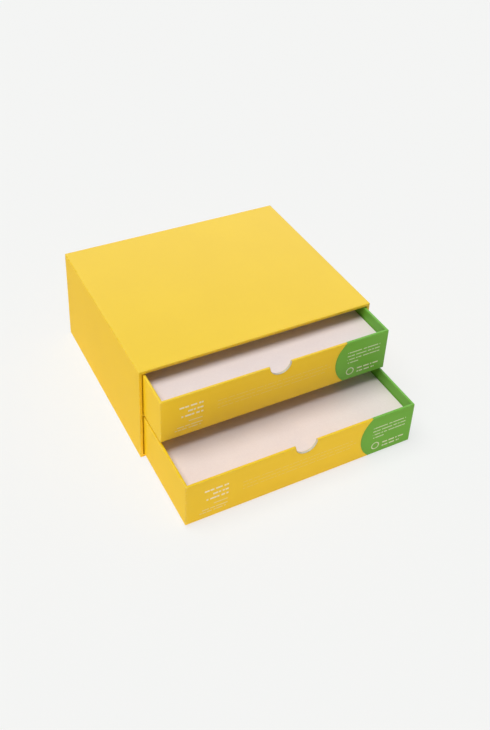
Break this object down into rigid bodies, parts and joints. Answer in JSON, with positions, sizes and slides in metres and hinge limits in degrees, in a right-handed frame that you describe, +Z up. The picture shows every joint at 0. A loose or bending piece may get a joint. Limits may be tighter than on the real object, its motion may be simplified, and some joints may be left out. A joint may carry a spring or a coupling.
{
  "type": "pencil drawer box",
  "caption": "Paper-covered rigid board box with a shelf and sliding open trays, each with a thumb notch in its front, for pencils and craft supplies.",
  "frame": {"origin": "centre of the casing's underside, on the surface it stands on", "axes": "+Z up, -Y out of the drawer fronts, +X to the right seen from the front"},
  "size_m": [0.24, 0.29, 0.102],
  "materials": {
    "yellow_paper": "matte",
    "green_paper": "matte",
    "greyboard": "matte",
    "stay_tape": "matte",
    "lining_paper": "matte",
    "white_card": "matte"
  },
  "bodies": {
    "casing": {"casing_top_board": "greyboard", "casing_bottom_board": "greyboard", "casing_left_board": "greyboard", "casing_right_board": "greyboard", "casing_back_board": "greyboard", "casing_corner_stays": "stay_tape", "casing_wrap": "yellow_paper", "casing_base_paper": "yellow_paper", "casing_back_paper": "yellow_paper", "casing_lining": "lining_paper", "casing_back_lining": "lining_paper", "shelf_board": "greyboard", "shelf_wrap": "yellow_paper", "shelf_stays": "stay_tape"},
    "upper_drawer": {"upper_drawer_base_board": "greyboard", "upper_drawer_front_board": "greyboard", "upper_drawer_back_board": "greyboard", "upper_drawer_left_board": "greyboard", "upper_drawer_right_board": "greyboard", "upper_drawer_corner_stays": "stay_tape", "upper_drawer_wrap": "yellow_paper", "upper_drawer_end_paper": "green_paper", "upper_drawer_base_paper": "yellow_paper", "upper_drawer_liner": "white_card"},
    "lower_drawer": {"lower_drawer_base_board": "greyboard", "lower_drawer_front_board": "greyboard", "lower_drawer_back_board": "greyboard", "lower_drawer_left_board": "greyboard", "lower_drawer_right_board": "greyboard", "lower_drawer_corner_stays": "stay_tape", "lower_drawer_wrap": "yellow_paper", "lower_drawer_end_paper": "green_paper", "lower_drawer_base_paper": "yellow_paper", "lower_drawer_liner": "white_card"}
  },
  "joints": [
    {"name": "upper_drawer_slide", "type": "slide", "parent": "casing", "child": "upper_drawer", "axis": [0, -1, 0], "range_m": [-0.038, 0.112]},
    {"name": "lower_drawer_slide", "type": "slide", "parent": "casing", "child": "lower_drawer", "axis": [0, -1, 0], "range_m": [-0.09, 0.06]}
  ]
}
